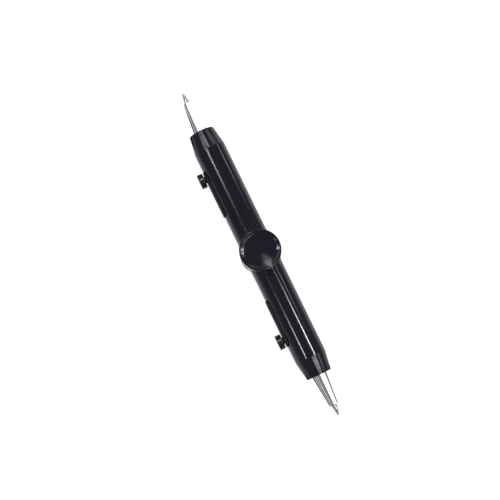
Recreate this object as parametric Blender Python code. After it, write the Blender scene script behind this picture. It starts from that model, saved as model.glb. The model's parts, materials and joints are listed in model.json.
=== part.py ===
"""A double-ended fingertip spinner pen, in metres, +Z up.

Two barrels run out from a round hub along +X (right) and -X (left). Each holds a short ball-point
refill on a carriage, and a mushroom knob on the carriage slides in a slotted, flat-faced guide let
into the barrel's -Y side.
The hub turns on a miniature ball bearing between two dished finger caps. The pen lies on its lower
cap, and the origin is on that surface, under the spin axis.
"""

import math

import bmesh
import bpy
from mathutils import Matrix, Vector

MM = 0.001

# Overall layout
AXIS_Z = 9.0 * MM  # height of the barrels' axis above the surface
BARREL_R = 6.3 * MM
NECK_END = 10.0 * MM  # where the hub's neck meets the barrel
BARREL_END = 52.4 * MM
NOSE_END = 65.4 * MM
TIP_END = 69.5 * MM
SEAM = 0.1 * MM  # gap between pieces that are screwed together

# Hub
HUB_R = 7.55 * MM
FILLET_R = 16.5 * MM  # in plan, from the hub's round boss into the neck
HUB_SQUARENESS = 7.0  # exponent of the section at the boss; 2 is a circle
SPIGOT_R = 4.3 * MM
SPIGOT_END = 13.0 * MM
SEAT_LIP_R = 5.6 * MM
SEAT_LIP = 1.0 * MM  # the lip's thickness
CLIP_GROOVE_R = 6.75 * MM
CLIP_GROOVE = 0.9 * MM  # the groove's width

# Bearing, 6.35 x 12.7 x 4.762 mm with 1/16 inch balls
BEARING_BORE_R = 3.175 * MM
BEARING_R = 6.35 * MM
BEARING_HALF = 2.381 * MM
PITCH_R = 4.7625 * MM
BALL_R = 0.794 * MM
BALL_COUNT = 10
RACE_CLEARANCE = 0.05 * MM
LAND_OUTER_R = 5.35 * MM  # the plain bands beside the races
LAND_INNER_R = 4.1 * MM
RING_CHAMFER = 0.2 * MM
SHIELD_SEAT_R = 5.8 * MM
SHIELD_SEAT = 0.5 * MM  # the seat's depth
SHIELD_INNER_R = 4.3 * MM
SHIELD_OUTER_R = 5.7 * MM
SHIELD_THICK = 0.25 * MM
SHIELD_DROP = 0.4 * MM  # from the bearing's face to the shield's inner side
CAGE_INNER_R = 4.4 * MM
CAGE_OUTER_R = 5.1 * MM
CAGE_LOW = -1.25 * MM
CAGE_HIGH = 0.4 * MM
POCKET_R = 0.85 * MM

# Circlip
CLIP_THICK = 0.7 * MM
CLIP_OUTER_R = 6.6 * MM
CLIP_INNER_R = 5.75 * MM
CLIP_LUG_R = 4.95 * MM
CLIP_GAP = 13.0  # degrees from the gap's middle to each end
CLIP_LUG = 16.0  # degrees that each lug takes up

# Finger caps
CAP_R = 8.15 * MM
LOWER_CAP_R = 7.6 * MM
CAP_THICK = 2.3 * MM
CAP_FACE = 9.0 * MM  # rim to the barrels' axis
DISH_DEPTH = 0.8 * MM
DISH_FLAT_R = 2.0 * MM
RIM_INNER_R = 7.2 * MM
RIM_OUTER_R = 7.7 * MM
RIM_EDGE_R = 0.45 * MM
CAP_CHAMFER = 0.4 * MM
CAP_BOSS_R = 3.85 * MM
CAP_SPIGOT_R = 3.1 * MM
STUD_R = 1.45 * MM
STUD_HALF = 5.0 * MM
STUD_CHAMFER = 0.3 * MM

# Barrel
BARREL_BORE_R = 4.4 * MM
TAPER_START = 44.9 * MM
BARREL_TIP_R = 5.05 * MM
BORE_END = 46.5 * MM
THREAD_R = 2.7 * MM
BARREL_EDGE = 0.25 * MM

# Slide
KNOB_X = 34.7 * MM
TRAVEL = 14.0 * MM
SLOT_HALF = 1.5 * MM
STEM_R = 1.35 * MM
STEM_FOOT = 1.3 * MM  # the stem's inner end, from the barrel's axis
KNOB_R = 3.0 * MM
KNOB_UNDER = 7.0 * MM
KNOB_FACE = 9.25 * MM
KNOB_EDGE_R = 0.55 * MM
KNOB_CHAMFER = 0.3 * MM
GUIDE_START = 18.2 * MM
GUIDE_END = 37.5 * MM
GUIDE_HALF_WIDTH = 3.2 * MM
GUIDE_CORNER = 1.4 * MM
GUIDE_CHAMFER = 0.2 * MM
GUIDE_INNER = 4.5 * MM  # its inner and outer faces, from the barrel's axis
GUIDE_FACE = 6.5 * MM
CARRIAGE_R = 4.3 * MM
CARRIAGE_BACK = 29.5 * MM
CARRIAGE_STEP = 39.0 * MM
CARRIAGE_FRONT = 42.5 * MM
CARRIAGE_BORE_R = 1.28 * MM
CARRIAGE_EDGE = 0.3 * MM
COLLAR_R = 2.6 * MM
GROOVE_R = 3.45 * MM
GROOVE_HALF = 0.55 * MM
RING_X = 31.6 * MM
RING_MAJOR = 3.92 * MM
RING_MINOR = 0.42 * MM

# Nose and refill
NOSE_R = 2.9 * MM
NOSE_TIP_R = 1.75 * MM
SHANK_START = 47.0 * MM
SHANK_R = 2.6 * MM
NOSE_BORE_R = 1.45 * MM
NOSE_MOUTH_R = 1.15 * MM
NOSE_BORE_END = 62.0 * MM
NOSE_LIP = 0.25 * MM
REFILL_R = 1.175 * MM
REFILL_BACK = 30.5 * MM
REFILL_FRONT = 61.0 * MM
REFILL_WALL = 0.25 * MM
REFILL_CHAMFER = 0.3 * MM
INK_END = 57.0 * MM  # the floor of the tube's bore
POINT_R = 1.03 * MM
POINT_CONE = 2.3 * MM
POINT_MOUTH_R = 0.5 * MM
WRITING_BALL_R = 0.38 * MM
BALL_CLEARANCE = 0.03 * MM

COARSE, MEDIUM, FINE = 12, 20, 30  # facets round small, middling and large pieces


def clear_scene():
    for old in list(bpy.data.objects):
        bpy.data.objects.remove(old)


def material(name, colour, roughness, metallic):
    made = bpy.data.materials.new(name)
    made.use_nodes = True
    shader = made.node_tree.nodes["Principled BSDF"]
    shader.inputs["Base Color"].default_value = (*colour, 1.0)
    shader.inputs["Roughness"].default_value = roughness
    shader.inputs["Metallic"].default_value = metallic
    return made


def finish_mesh(bm, name):
    bmesh.ops.remove_doubles(bm, verts=bm.verts, dist=1e-8)
    bmesh.ops.recalc_face_normals(bm, faces=bm.faces)
    mesh = bpy.data.meshes.new(name)
    bm.to_mesh(mesh)
    bm.free()
    mesh.shade_smooth()
    mesh.set_sharp_from_angle(angle=math.radians(35))
    return mesh


def turned_mesh(name, outline, segments):
    """Turns (radius, height) points about Z. An outline that leaves the axis is closed on itself."""
    bm = bmesh.new()
    points = [bm.verts.new((radius, 0, height)) for radius, height in outline]
    pairs = list(zip(points, points[1:]))
    if outline[0][0] > 0:
        pairs.append((points[-1], points[0]))
    edges = [bm.edges.new(pair) for pair in pairs]
    bmesh.ops.spin(
        bm,
        geom=points + edges,
        cent=(0, 0, 0),
        axis=(0, 0, 1),
        angle=math.tau,
        steps=segments,
        use_merge=True,
    )
    return finish_mesh(bm, name)


def ball_mesh(name, radius, segments):
    bm = bmesh.new()
    bmesh.ops.create_uvsphere(bm, u_segments=segments, v_segments=segments // 2, radius=radius)
    return finish_mesh(bm, name)


def arc(centre, radius, start, end, steps):
    """Points (radius, height) along an arc, with its angles in degrees."""
    angles = [math.radians(start + (end - start) * i / steps) for i in range(steps + 1)]
    return [(centre[0] + radius * math.cos(a), centre[1] + radius * math.sin(a)) for a in angles]


def place(name, mesh, look, parent, rotation=(0, 0, 0), offset=(0, 0, 0)):
    made = bpy.data.objects.new(name, mesh)
    bpy.context.scene.collection.objects.link(made)
    made.parent = parent
    made.location = offset
    made.rotation_euler = rotation
    if look is not None and not mesh.materials:
        mesh.materials.append(look)
    return made


def pivot(name, location, rotation=(0, 0, 0), parent=None):
    made = bpy.data.objects.new(name, None)
    bpy.context.scene.collection.objects.link(made)
    made.parent = parent
    made.location = location
    made.rotation_euler = rotation
    return made


def cut(target, cutter):
    cutter.hide_render = True
    cutter.display_type = "WIRE"
    step = target.modifiers.new(cutter.name, "BOOLEAN")
    step.operation = "DIFFERENCE"
    step.solver = "EXACT"
    step.object = cutter


def hub_half_width(x):
    """Half the hub's width in plan: the boss's circle, its fillet, then the straight neck."""
    reach = abs(x)
    fillet_y = BARREL_R + FILLET_R
    fillet_x = math.sqrt((HUB_R + FILLET_R) ** 2 - fillet_y**2)
    meet_x = fillet_x * HUB_R / (HUB_R + FILLET_R)
    if reach <= meet_x:
        return math.sqrt(HUB_R**2 - reach**2)
    if reach < fillet_x:
        return fillet_y - math.sqrt(FILLET_R**2 - (fillet_x - reach) ** 2)
    return BARREL_R


def hub_section(x, segments):
    """A section across X: a circle on the neck that squares up towards the boss."""
    width = hub_half_width(x)
    swell = (width - BARREL_R) / (HUB_R - BARREL_R)
    power = 2.0 + (HUB_SQUARENESS - 2.0) * swell
    points = []
    for i in range(segments):
        angle = math.tau * i / segments
        across, up = math.cos(angle), math.sin(angle)
        size = (abs(across) ** power + abs(up) ** power) ** (-1.0 / power)
        points.append((x, width * across * size, BARREL_R * up * size))
    return points


def circle_section(x, radius, segments):
    angles = [math.tau * i / segments for i in range(segments)]
    return [(x, radius * math.cos(a), radius * math.sin(a)) for a in angles]


def hub_mesh():
    """The boss, its two necks and its two threaded spigots, as sections joined along X."""
    sections = [hub_section(NECK_END * i / 5, FINE) for i in range(-5, 6)]
    for end in (-1, 1):
        for x in (NECK_END, SPIGOT_END):
            spigot = circle_section(end * x, SPIGOT_R, FINE)
            sections.insert(0 if end < 0 else len(sections), spigot)
    bm = bmesh.new()
    rings = [[bm.verts.new(point) for point in section] for section in sections]
    for near, far in zip(rings, rings[1:]):
        for i in range(FINE):
            j = (i + 1) % FINE
            bm.faces.new((near[i], near[j], far[j], far[i]))
    bm.faces.new(rings[0])
    bm.faces.new(rings[-1])
    return finish_mesh(bm, "hub_housing")


def hub_bore_mesh():
    """What is bored out of the hub: the bearing seat, its lower lip and the circlip's groove."""
    seat_r = BEARING_R + SEAM / 2
    low, high = -BEARING_HALF - SEAM, BEARING_HALF + SEAM
    past = BARREL_R + MM
    outline = [
        (0, -past),
        (seat_r, -past),
        (seat_r, low - SEAT_LIP),
        (SEAT_LIP_R, low - SEAT_LIP),
        (SEAT_LIP_R, low),
        (seat_r, low),
        (seat_r, high),
        (CLIP_GROOVE_R, high),
        (CLIP_GROOVE_R, high + CLIP_GROOVE),
        (seat_r, high + CLIP_GROOVE),
        (seat_r, past),
        (0, past),
    ]
    return turned_mesh("hub_bore_cutter", outline, FINE)


def circlip_mesh():
    """An internal circlip: an open ring with a lug at each end, cut from flat spring steel."""
    centre, steps, lug_steps = (0, 0), 24, 3
    near, far = CLIP_GAP, 360 - CLIP_GAP
    outer = arc(centre, CLIP_OUTER_R, near, far, steps)
    first_lug = arc(centre, CLIP_LUG_R, far, far - CLIP_LUG, lug_steps)
    inner = arc(centre, CLIP_INNER_R, far - CLIP_LUG, near + CLIP_LUG, steps)
    last_lug = arc(centre, CLIP_LUG_R, near + CLIP_LUG, near, lug_steps)
    bm = bmesh.new()
    base = [bm.verts.new((x, y, 0)) for x, y in outer + first_lug + inner + last_lug]
    face = bm.faces.new(base)
    grown = bmesh.ops.extrude_face_region(bm, geom=[face])
    raised = [item for item in grown["geom"] if isinstance(item, bmesh.types.BMVert)]
    bmesh.ops.translate(bm, verts=raised, vec=(0, 0, CLIP_THICK))
    return finish_mesh(bm, "bearing_circlip")


def outer_ring_mesh():
    race_r = BALL_R + RACE_CLEARANCE
    spread = math.degrees(math.acos((LAND_OUTER_R - PITCH_R) / race_r))
    outline = [
        (BEARING_R - RING_CHAMFER, -BEARING_HALF),
        (BEARING_R, -BEARING_HALF + RING_CHAMFER),
        (BEARING_R, BEARING_HALF - RING_CHAMFER),
        (BEARING_R - RING_CHAMFER, BEARING_HALF),
        (SHIELD_SEAT_R, BEARING_HALF),
        (SHIELD_SEAT_R, BEARING_HALF - SHIELD_SEAT),
        (LAND_OUTER_R, BEARING_HALF - SHIELD_SEAT),
    ]
    outline += arc((PITCH_R, 0), race_r, spread, -spread, 4)
    outline += [
        (LAND_OUTER_R, -BEARING_HALF + SHIELD_SEAT),
        (SHIELD_SEAT_R, -BEARING_HALF + SHIELD_SEAT),
        (SHIELD_SEAT_R, -BEARING_HALF),
    ]
    return turned_mesh("bearing_outer_ring", outline, FINE)


def inner_ring_mesh():
    race_r = BALL_R + RACE_CLEARANCE
    spread = math.degrees(math.acos((PITCH_R - LAND_INNER_R) / race_r))
    outline = [(BEARING_BORE_R, -BEARING_HALF), (BEARING_BORE_R, BEARING_HALF)]
    outline += [(LAND_INNER_R, BEARING_HALF)]
    outline += arc((PITCH_R, 0), race_r, 180 - spread, 180 + spread, 4)
    outline += [(LAND_INNER_R, -BEARING_HALF)]
    return turned_mesh("bearing_inner_ring", outline, FINE)


def cage_mesh():
    """The plain ring of the crown cage. Its pockets are cut by round bars."""
    outline = [
        (CAGE_INNER_R, CAGE_LOW),
        (CAGE_OUTER_R, CAGE_LOW),
        (CAGE_OUTER_R, CAGE_HIGH),
        (CAGE_INNER_R, CAGE_HIGH),
    ]
    return turned_mesh("bearing_cage", outline, FINE)


def pocket_cutter_mesh():
    bm = bmesh.new()
    for i in range(BALL_COUNT):
        turn = Matrix.Rotation(math.tau * i / BALL_COUNT, 4, "Z")
        lay = Matrix.Rotation(math.pi / 2, 4, "Y")
        out = Matrix.Translation((PITCH_R, 0, 0))
        bmesh.ops.create_cone(
            bm,
            cap_ends=True,
            segments=COARSE,
            radius1=POCKET_R,
            radius2=POCKET_R,
            depth=2.0 * MM,
            matrix=turn @ out @ lay,
        )
    return finish_mesh(bm, "cage_pocket_cutter")


def shield_mesh():
    outline = [
        (SHIELD_INNER_R, 0),
        (SHIELD_OUTER_R, 0),
        (SHIELD_OUTER_R, SHIELD_THICK),
        (SHIELD_INNER_R, SHIELD_THICK),
    ]
    return turned_mesh("bearing_shield", outline, FINE)


def cap_mesh(name, outer_r):
    """A finger cap with its boss and hollow spigot, facing up from the barrels' axis."""
    rim_inner_r = outer_r - (CAP_R - RIM_INNER_R)
    rim_outer_r = outer_r - (CAP_R - RIM_OUTER_R)
    under = CAP_FACE - CAP_THICK
    stop = BEARING_HALF + SEAM
    drill_r, drill_end = STUD_R + SEAM, STUD_HALF + 0.4 * MM
    floor = CAP_FACE - DISH_DEPTH
    run = rim_inner_r - DISH_FLAT_R
    bowl = [(DISH_FLAT_R + run * i / 4, floor + DISH_DEPTH * (i / 4) ** 2) for i in range(5)]
    outline = [(0, floor)] + bowl + [(rim_outer_r, CAP_FACE)]
    outline += arc((outer_r - RIM_EDGE_R, CAP_FACE - RIM_EDGE_R), RIM_EDGE_R, 60, 0, 2)
    outline += [(outer_r, under + CAP_CHAMFER), (outer_r - CAP_CHAMFER, under), (CAP_BOSS_R, under)]
    outline += [(CAP_BOSS_R, stop), (CAP_SPIGOT_R, stop), (CAP_SPIGOT_R, SEAM)]
    outline += [(drill_r, SEAM), (drill_r, drill_end), (0, drill_end + drill_r / 2)]
    return turned_mesh(name, outline, FINE)


def stud_mesh():
    outline = [
        (0, -STUD_HALF),
        (STUD_R - STUD_CHAMFER, -STUD_HALF),
        (STUD_R, -STUD_HALF + STUD_CHAMFER),
        (STUD_R, STUD_HALF - STUD_CHAMFER),
        (STUD_R - STUD_CHAMFER, STUD_HALF),
        (0, STUD_HALF),
    ]
    return turned_mesh("cap_stud", outline, COARSE)


def barrel_mesh():
    """A tube along +Z from the hub, tapered at its tip end, where a smaller bore takes the nose."""
    start = NECK_END + SEAM
    outline = [
        (BARREL_BORE_R, start),
        (BARREL_R, start),
        (BARREL_R, TAPER_START),
        (BARREL_TIP_R + BARREL_EDGE / 3, BARREL_END - BARREL_EDGE),
        (BARREL_TIP_R - BARREL_EDGE, BARREL_END),
        (THREAD_R, BARREL_END),
        (THREAD_R, BORE_END),
        (BARREL_BORE_R, BORE_END),
    ]
    return turned_mesh("barrel", outline, FINE)


def rounded_bar(name, half_width, start, end, corner, depths, insets):
    """A bar with rounded corners that runs along Z and stands out towards -Y.

    Its outline is drawn in at each depth from the axis by the inset given for that depth.
    """
    bm = bmesh.new()
    side = half_width - corner
    centres = [(side, end - corner), (-side, end - corner), (-side, start + corner), (side, start + corner)]
    rings = []
    for depth, inset in zip(depths, insets):
        ring = []
        for quarter, centre in enumerate(centres):
            turn = 90 * quarter
            for x, z in arc(centre, corner - inset, turn, turn + 90, 4):
                ring.append(bm.verts.new((x, -depth, z)))
        rings.append(ring)
    count = len(rings[0])
    for near, far in zip(rings, rings[1:]):
        for i in range(count):
            j = (i + 1) % count
            bm.faces.new((near[i], near[j], far[j], far[i]))
    bm.faces.new(rings[0])
    bm.faces.new(rings[-1])
    return finish_mesh(bm, name)


def guide_mesh():
    """The slide's guide: a strip with a flat, chamfered face that fills the barrel's window."""
    depths = [GUIDE_INNER, GUIDE_FACE - GUIDE_CHAMFER, GUIDE_FACE]
    insets = [0, 0, GUIDE_CHAMFER]
    outline = (GUIDE_HALF_WIDTH, GUIDE_START, GUIDE_END, GUIDE_CORNER)
    return rounded_bar("slide_guide", *outline, depths, insets)


def window_cutter_mesh():
    outline = (
        GUIDE_HALF_WIDTH + SEAM,
        GUIDE_START - SEAM,
        GUIDE_END + SEAM,
        GUIDE_CORNER + SEAM,
    )
    return rounded_bar("window_cutter", *outline, [2.0 * MM, 8.0 * MM], [0, 0])


def slot_cutter_mesh():
    outline = (SLOT_HALF, KNOB_X - TRAVEL - SLOT_HALF, KNOB_X + SLOT_HALF, SLOT_HALF)
    return rounded_bar("slot_cutter", *outline, [3.0 * MM, 8.0 * MM], [0, 0])


def nose_mesh():
    seat = BARREL_END + SEAM
    outline = [
        (NOSE_BORE_R, SHANK_START),
        (SHANK_R, SHANK_START),
        (SHANK_R, seat),
        (NOSE_R, seat),
        (NOSE_TIP_R + 0.1 * NOSE_LIP, NOSE_END - NOSE_LIP),
        (NOSE_TIP_R - 0.3 * NOSE_LIP, NOSE_END - 0.3 * NOSE_LIP),
        (NOSE_TIP_R - NOSE_LIP, NOSE_END),
        (NOSE_MOUTH_R, NOSE_END),
        (NOSE_MOUTH_R, NOSE_BORE_END),
        (NOSE_BORE_R, NOSE_BORE_END - (NOSE_BORE_R - NOSE_MOUTH_R)),
    ]
    return turned_mesh("nose_cone", outline, MEDIUM)


def carriage_mesh():
    """The slide's carriage, with a groove for the friction ring and a collar round the refill."""
    outline = [
        (CARRIAGE_BORE_R, CARRIAGE_BACK),
        (CARRIAGE_R - CARRIAGE_EDGE, CARRIAGE_BACK),
        (CARRIAGE_R, CARRIAGE_BACK + CARRIAGE_EDGE),
        (CARRIAGE_R, RING_X - GROOVE_HALF),
        (GROOVE_R, RING_X - GROOVE_HALF),
        (GROOVE_R, RING_X + GROOVE_HALF),
        (CARRIAGE_R, RING_X + GROOVE_HALF),
        (CARRIAGE_R, CARRIAGE_STEP),
        (COLLAR_R, CARRIAGE_STEP),
        (COLLAR_R, CARRIAGE_FRONT),
        (CARRIAGE_BORE_R, CARRIAGE_FRONT),
    ]
    return turned_mesh("carriage", outline, FINE)


def knob_hole_cutter_mesh():
    """A round bar along +Z that drills the carriage for the knob's stem."""
    radius = STEM_R + SEAM
    outline = [(0, 0.5 * MM), (radius, 0.5 * MM), (radius, 6.0 * MM), (0, 6.0 * MM)]
    return turned_mesh("knob_hole_cutter", outline, COARSE)


def knob_mesh():
    """A mushroom knob on its threaded stem, standing along +Z from the barrel's axis."""
    outline = [(0, STEM_FOOT), (STEM_R, STEM_FOOT), (STEM_R, KNOB_UNDER)]
    outline += [(KNOB_R - KNOB_CHAMFER, KNOB_UNDER), (KNOB_R, KNOB_UNDER + KNOB_CHAMFER)]
    outline += arc((KNOB_R - KNOB_EDGE_R, KNOB_FACE - KNOB_EDGE_R), KNOB_EDGE_R, 0, 90, 3)
    outline += [(0, KNOB_FACE)]
    return turned_mesh("slide_knob", outline, MEDIUM)


def friction_ring_mesh():
    return turned_mesh("friction_ring", arc((RING_MAJOR, RING_X), RING_MINOR, 0, 300, 5), MEDIUM)


def refill_tube_mesh():
    """The ink tube, open at its back and swaged onto the point at its front."""
    inner_r = REFILL_R - REFILL_WALL
    outline = [
        (0, INK_END),
        (inner_r, INK_END),
        (inner_r, REFILL_BACK),
        (REFILL_R, REFILL_BACK),
        (REFILL_R, REFILL_FRONT - REFILL_CHAMFER),
        (REFILL_R - REFILL_CHAMFER, REFILL_FRONT),
        (0, REFILL_FRONT),
    ]
    return turned_mesh("refill_tube", outline, COARSE)


def refill_point_mesh():
    """The turned point: a round shank, then a cone with a socket that holds the writing ball."""
    socket_r = WRITING_BALL_R + BALL_CLEARANCE
    centre = (0, TIP_END - WRITING_BALL_R)
    socket = arc(centre, socket_r, 7, -90, 4)
    mouth = socket[0][1]
    cone = mouth - POINT_CONE
    outline = [
        (0, REFILL_FRONT + SEAM),
        (POINT_R, REFILL_FRONT + SEAM),
        (POINT_R, cone - 0.2 * MM),
        (POINT_R - 0.2 * MM, cone),
        (POINT_MOUTH_R, mouth),
    ]
    outline += socket[:-1] + [(0, centre[1] - socket_r)]
    return turned_mesh("refill_point", outline, COARSE)


def build_spindle(looks):
    """The finger caps, the stud that joins them and the ring they clamp: what the fingers hold."""
    spindle = pivot("spin_axis", (0, 0, AXIS_Z))
    upper = cap_mesh("finger_cap_upper", CAP_R)
    lower = cap_mesh("finger_cap_lower", LOWER_CAP_R)
    place("finger_cap_upper", upper, looks["lacquer"], spindle)
    place("finger_cap_lower", lower, looks["lacquer"], spindle, rotation=(math.pi, 0, 0))
    place("cap_stud", stud_mesh(), looks["steel"], spindle)
    place("bearing_inner_ring", inner_ring_mesh(), looks["steel"], spindle)


def build_cage(looks):
    """The bearing's cage and balls, which turn at their own rate."""
    centre = pivot("cage_axis", (0, 0, AXIS_Z))
    cage = place("bearing_cage", cage_mesh(), looks["cage"], centre)
    cut(cage, place("cage_pocket_cutter", pocket_cutter_mesh(), None, centre))
    ball = ball_mesh("bearing_ball", BALL_R, 12)
    for i in range(BALL_COUNT):
        around = Matrix.Rotation(math.tau * i / BALL_COUNT, 3, "Z") @ Vector((PITCH_R, 0, 0))
        place(f"bearing_ball_{i + 1:02d}", ball, looks["steel"], centre, offset=around)


def build_hub(looks):
    centre = pivot("hub_axis", (0, 0, AXIS_Z))
    hub = place("hub_housing", hub_mesh(), looks["lacquer"], centre)
    cut(hub, place("hub_bore_cutter", hub_bore_mesh(), None, centre))
    place("bearing_outer_ring", outer_ring_mesh(), looks["steel"], centre)
    shield = shield_mesh()
    face = BEARING_HALF - SHIELD_DROP
    place("bearing_shield_upper", shield, looks["steel"], centre, offset=(0, 0, face))
    place(
        "bearing_shield_lower",
        shield,
        looks["steel"],
        centre,
        rotation=(math.pi, 0, 0),
        offset=(0, 0, -face),
    )
    clip_z = BEARING_HALF + 2 * SEAM
    place("bearing_circlip", circlip_mesh(), looks["spring"], centre, offset=(0, 0, clip_z))
    return centre


def build_side(side, heading, hub, meshes, looks):
    """One half of the pen. Its meshes run along +Z from the hub, and are turned out along X."""
    turn = (0, heading * math.pi / 2, 0)
    half = pivot(f"barrel_axis_{side}", (0, 0, 0), turn, hub)
    barrel = place(f"barrel_{side}", meshes["barrel"], looks["lacquer"], half)
    cut(barrel, place(f"window_cutter_{side}", meshes["window_cutter"], None, half))
    guide = place(f"slide_guide_{side}", meshes["slide_guide"], looks["acetal"], half)
    cut(guide, place(f"slot_cutter_{side}", meshes["slot_cutter"], None, half))
    place(f"nose_cone_{side}", meshes["nose_cone"], looks["chrome"], half)

    slide = pivot(f"slide_axis_{side}", (0, 0, 0), (0, 0, 0), half)
    carriage = place(f"carriage_{side}", meshes["carriage"], looks["acetal"], slide)
    stand = {"rotation": (math.pi / 2, 0, 0), "offset": (0, 0, KNOB_X)}
    cut(carriage, place(f"knob_hole_cutter_{side}", meshes["knob_hole"], None, slide, **stand))
    place(f"slide_knob_{side}", meshes["knob"], looks["lacquer"], slide, **stand)
    place(f"friction_ring_{side}", meshes["friction_ring"], looks["rubber"], slide)
    place(f"refill_tube_{side}", meshes["refill_tube"], looks["brass"], slide)
    place(f"refill_point_{side}", meshes["refill_point"], looks["nickel"], slide)
    ball_z = TIP_END - WRITING_BALL_R
    place(f"writing_ball_{side}", meshes["ball"], looks["steel"], slide, offset=(0, 0, ball_z))


def build():
    clear_scene()
    looks = {
        "lacquer": material("black_lacquer", (0.012, 0.012, 0.016), 0.12, 0.0),
        "chrome": material("chrome", (0.8, 0.8, 0.82), 0.1, 1.0),
        "steel": material("bearing_steel", (0.56, 0.57, 0.58), 0.2, 1.0),
        "spring": material("spring_steel", (0.12, 0.12, 0.13), 0.4, 1.0),
        "cage": material("cage_polymer", (0.62, 0.56, 0.42), 0.5, 0.0),
        "acetal": material("black_acetal", (0.015, 0.015, 0.017), 0.4, 0.0),
        "rubber": material("black_rubber", (0.02, 0.02, 0.02), 0.8, 0.0),
        "brass": material("refill_brass", (0.72, 0.55, 0.26), 0.3, 1.0),
        "nickel": material("nickel_silver", (0.7, 0.68, 0.62), 0.25, 1.0),
    }
    meshes = {
        "barrel": barrel_mesh(),
        "window_cutter": window_cutter_mesh(),
        "slide_guide": guide_mesh(),
        "slot_cutter": slot_cutter_mesh(),
        "nose_cone": nose_mesh(),
        "carriage": carriage_mesh(),
        "knob_hole": knob_hole_cutter_mesh(),
        "knob": knob_mesh(),
        "friction_ring": friction_ring_mesh(),
        "refill_tube": refill_tube_mesh(),
        "refill_point": refill_point_mesh(),
        "ball": ball_mesh("writing_ball", WRITING_BALL_R, 10),
    }
    build_spindle(looks)
    build_cage(looks)
    hub = build_hub(looks)
    build_side("right", 1, hub, meshes, looks)
    build_side("left", -1, hub, meshes, looks)


build()
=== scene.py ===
import json
import math

import bmesh
import bpy
from mathutils import Matrix, Vector


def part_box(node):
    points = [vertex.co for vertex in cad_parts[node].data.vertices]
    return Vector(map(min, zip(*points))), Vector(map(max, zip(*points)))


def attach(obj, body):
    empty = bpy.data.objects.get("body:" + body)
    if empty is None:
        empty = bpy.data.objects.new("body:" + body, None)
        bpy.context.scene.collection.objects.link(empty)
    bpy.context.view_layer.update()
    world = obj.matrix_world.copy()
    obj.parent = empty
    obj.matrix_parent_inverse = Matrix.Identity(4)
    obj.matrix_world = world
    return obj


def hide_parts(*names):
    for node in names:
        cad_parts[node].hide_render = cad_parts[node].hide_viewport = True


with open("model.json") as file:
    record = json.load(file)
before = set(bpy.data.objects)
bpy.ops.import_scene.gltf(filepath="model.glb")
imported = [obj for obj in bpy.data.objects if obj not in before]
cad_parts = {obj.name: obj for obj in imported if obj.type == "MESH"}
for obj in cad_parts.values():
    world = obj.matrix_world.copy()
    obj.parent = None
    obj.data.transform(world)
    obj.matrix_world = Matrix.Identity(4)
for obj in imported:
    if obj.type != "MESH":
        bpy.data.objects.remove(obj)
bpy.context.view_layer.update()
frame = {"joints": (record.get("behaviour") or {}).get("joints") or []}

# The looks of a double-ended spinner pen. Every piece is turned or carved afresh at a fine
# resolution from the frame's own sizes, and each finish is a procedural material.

MM = 0.001


# ---------------------------------------------------------------- sizes read from the frame

def side_box(node):
    """A right-hand node's box measured from the barrels' axis: low and high corners."""
    low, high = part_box(node)
    return low - Vector((0, 0, AXIS_Z)), high - Vector((0, 0, AXIS_Z))


AXIS_Z = (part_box("barrel_right")[0].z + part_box("barrel_right")[1].z) / 2

BARREL_START, BARREL_END = (corner.x for corner in side_box("barrel_right"))
BARREL_R = side_box("barrel_right")[1].z
BARREL_TIP_R = BARREL_R - 1.25 * MM
TAPER_LENGTH = 7.5 * MM
BARREL_BORE_R = BARREL_R - 1.9 * MM
BORE_END = BARREL_END - 5.9 * MM
THREAD_R = side_box("nose_cone_right")[1].z - 0.2 * MM

HUB_R = 7.55 * MM
HUB_FILLET_R = 16.5 * MM
HUB_SQUARENESS = 7.0
SPIGOT_END = side_box("hub_housing")[1].x
SPIGOT_R = BARREL_BORE_R - 0.1 * MM
NECK_END = BARREL_START - 0.1 * MM

CAP_R = side_box("finger_cap_upper")[1].x
LOWER_CAP_R = side_box("finger_cap_lower")[1].x
CAP_FACE = side_box("finger_cap_upper")[1].z
CAP_UNDER = CAP_FACE - 2.3 * MM
CAP_RIM = 0.8 * MM  # from the dish's edge to the cap's
DISH_DEPTH = 0.8 * MM
CAP_BOSS_R = 3.85 * MM
CAP_SPIGOT_R = 3.1 * MM
CAP_STOP = 2.48 * MM

BEARING_HIGH = side_box("bearing_outer_ring")[1]
BEARING_R = BEARING_HIGH.x
BEARING_HALF = BEARING_HIGH.z
BEARING_BORE_R = BEARING_R / 2
PITCH_R = 0.75 * BEARING_R
BALL_R = 0.794 * MM
BALL_COUNT = 10
RACE_R = BALL_R + 0.05 * MM

GUIDE_LOW, GUIDE_HIGH = side_box("slide_guide_right")
GUIDE_CORNER = 1.4 * MM
SLOT_HALF = 1.5 * MM
TRAVEL = max(joint["range_m"][1] for joint in frame["joints"] if joint["type"] == "slide")

KNOB_LOW, KNOB_HIGH = side_box("slide_knob_right")
KNOB_X = (KNOB_LOW.x + KNOB_HIGH.x) / 2
KNOB_R = KNOB_HIGH.z
KNOB_FACE = -KNOB_LOW.y
KNOB_UNDER = KNOB_FACE - 2.25 * MM
STEM_FOOT = -KNOB_HIGH.y
STEM_R = 1.35 * MM

CARRIAGE_LOW, CARRIAGE_HIGH = side_box("carriage_right")
CARRIAGE_R = CARRIAGE_HIGH.z
RING_LOW, RING_HIGH = side_box("friction_ring_right")
RING_X = (RING_LOW.x + RING_HIGH.x) / 2
RING_MINOR = 0.42 * MM
RING_MAJOR = RING_HIGH.z - RING_MINOR

NOSE_START, NOSE_END = (corner.x for corner in side_box("nose_cone_right"))
NOSE_R = side_box("nose_cone_right")[1].z
NOSE_TIP_R = 1.75 * MM
NOSE_SHANK_R = THREAD_R - 0.1 * MM
NOSE_MOUTH_R = 1.15 * MM
NOSE_BORE_R = 1.45 * MM

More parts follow.
